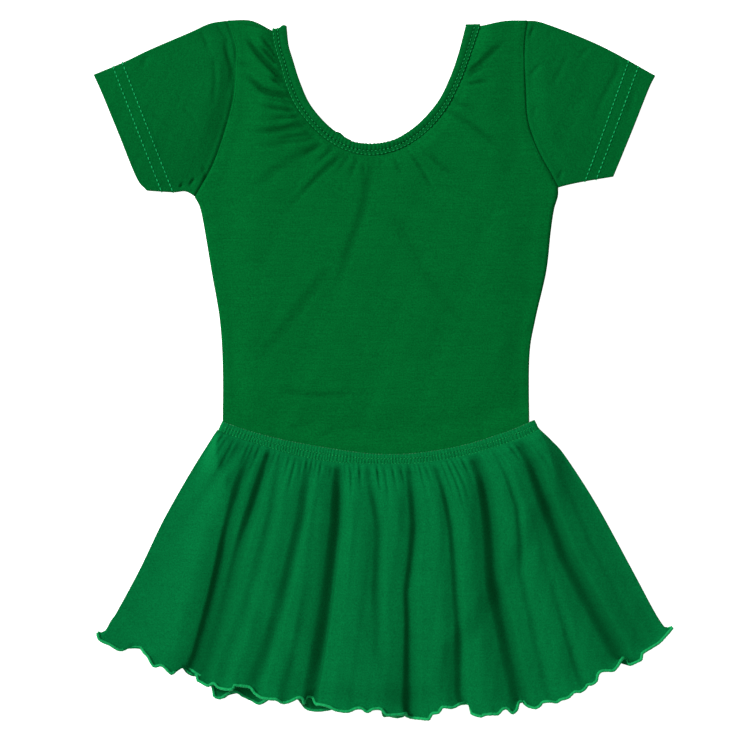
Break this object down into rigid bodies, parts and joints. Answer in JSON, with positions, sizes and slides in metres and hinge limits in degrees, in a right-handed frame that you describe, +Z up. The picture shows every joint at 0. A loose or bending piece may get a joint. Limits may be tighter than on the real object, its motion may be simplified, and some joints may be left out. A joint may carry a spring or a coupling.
{
  "type": "short-sleeve skirted leotard",
  "caption": "Child's short-sleeved scoop-neck leotard with a ruched waistband and a gathered skirt with a wavy rolled hem, laid flat with its front up.",
  "frame": {"origin": "on the garment's centre line under the back, on the face that it rests on, 257 mm below the shoulders", "axes": "+X across the garment to its left side (the picture's right), +Y towards the neck, +Z up from the surface that it lies on"},
  "size_m": [0.4288, 0.516, 0.0143],
  "materials": {
    "bodice_jersey": "matt fine green jersey with faint level streaks",
    "sleeve_jersey": "matt fine green jersey",
    "neck_elastic": "turned green jersey over elastic, two rows of brighter green stitches",
    "waist_elastic": "ruched green jersey over elastic, two rows of brighter green stitches",
    "skirt_jersey": "light green jersey, edge rolled in brighter green thread"
  },
  "bodies": {
    "root": {"front": "bodice_jersey", "back": "bodice_jersey", "sleeve_left": "sleeve_jersey", "sleeve_right": "sleeve_jersey", "neck_band": "neck_elastic", "waistband": "waist_elastic", "skirt_front": "skirt_jersey", "skirt_back": "skirt_jersey"}
  },
  "joints": []
}
